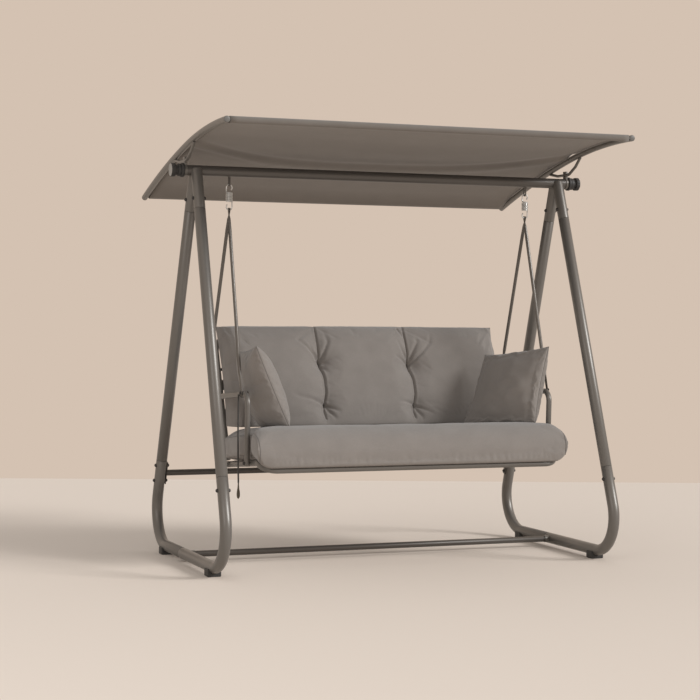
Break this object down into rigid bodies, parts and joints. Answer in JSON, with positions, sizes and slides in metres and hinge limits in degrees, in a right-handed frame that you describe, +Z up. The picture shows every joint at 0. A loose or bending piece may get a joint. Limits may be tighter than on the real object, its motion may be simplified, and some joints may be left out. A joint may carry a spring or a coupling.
{
  "type": "garden swing seat",
  "caption": "Cushioned garden bench hung on rods and springs from an A-frame tube stand, with a canopy that tilts.",
  "frame": {"origin": "middle of the whole swing seat at floor level, under the feet's soles", "axes": "+X to the right of someone who stands in front of the seat, +Y from the front to the backrest, +Z up"},
  "size_m": [1.8044, 1.1934, 1.7206],
  "materials": {
    "frame_paint": "satin",
    "dark_paint": "satin",
    "bolt_steel": "satin",
    "zinc": "polished",
    "black_plastic": "matte",
    "grey_plastic": "satin",
    "pad_fabric": "matte",
    "canopy_fabric": "matte",
    "strap_fabric": "matte"
  },
  "bodies": {
    "stand": {"top_beam": "frame_paint", "leg_socket_left": "frame_paint", "leg_socket_right": "frame_paint", "leg_front_left": "frame_paint", "leg_front_right": "frame_paint", "leg_rear_left": "frame_paint", "leg_rear_right": "frame_paint", "base_bend_front_left": "frame_paint", "base_bend_front_right": "frame_paint", "base_bend_rear_left": "frame_paint", "base_bend_rear_right": "frame_paint", "base_cross_tube": "dark_paint", "rear_cross_tube": "dark_paint", "foot_front_left": "black_plastic", "foot_front_right": "black_plastic", "foot_rear_left": "black_plastic", "foot_rear_right": "black_plastic", "tilt_stud_left": "bolt_steel", "tilt_stud_right": "bolt_steel", "hanger_staple_left": "dark_paint", "hanger_staple_right": "dark_paint"},
    "canopy": {"canopy_front_bar": "frame_paint", "canopy_rear_bar": "frame_paint", "canopy_side_bar_left": "frame_paint", "canopy_side_bar_right": "frame_paint", "front_bar_plug_left": "black_plastic", "front_bar_plug_right": "black_plastic", "side_bar_plug_left": "black_plastic", "side_bar_plug_right": "black_plastic", "canopy_bracket_left": "frame_paint", "canopy_bracket_right": "frame_paint", "canopy_cloth": "canopy_fabric", "friction_washer_left": "black_plastic", "friction_washer_right": "black_plastic"},
    "knob_left": {"tilt_knob_left": "grey_plastic"},
    "knob_right": {"tilt_knob_right": "grey_plastic"},
    "swing": {"spring_left": "zinc", "spring_right": "zinc"},
    "bench": {"hanger_rod_front_left": "frame_paint", "hanger_rod_front_right": "frame_paint", "hanger_rod_rear_left": "frame_paint", "hanger_rod_rear_right": "frame_paint", "rod_bolt_front_left": "bolt_steel", "rod_bolt_front_right": "bolt_steel", "rod_bolt_rear_left": "bolt_steel", "rod_bolt_rear_right": "bolt_steel", "seat_frame": "frame_paint", "backrest_frame": "frame_paint", "armrest_left": "frame_paint", "armrest_right": "frame_paint", "seat_cushion": "pad_fabric", "back_cushion": "pad_fabric", "pillow_left": "pad_fabric", "pillow_right": "pad_fabric", "tie_loop": "strap_fabric", "hanging_tie": "strap_fabric", "tie_end": "strap_fabric"}
  },
  "joints": [
    {"name": "canopy_tilt", "type": "hinge", "parent": "stand", "child": "canopy", "pos_m": [0, -0.03245, 1.56], "axis": [1, 0, 0], "range_deg": [-18, 12]},
    {"name": "knob_turn_left", "type": "hinge", "parent": "canopy", "child": "knob_left", "pos_m": [-0.8365, -0.03245, 1.56], "axis": [1, 0, 0], "continuous": true},
    {"name": "knob_turn_right", "type": "hinge", "parent": "canopy", "child": "knob_right", "pos_m": [0.8365, -0.03245, 1.56], "axis": [1, 0, 0], "continuous": true},
    {"name": "seat_swing", "type": "hinge", "parent": "stand", "child": "swing", "pos_m": [0, -0.02045, 1.5014], "axis": [1, 0, 0], "range_deg": [-18, 18]},
    {"name": "seat_bounce", "type": "slide", "parent": "swing", "child": "bench", "axis": [0, 0, 1], "range_m": [-0.03, 0.006], "stiffness_N_per_m": 30000, "springref_m": 0.01802, "deforming": ["spring_left", "spring_right"]}
  ]
}
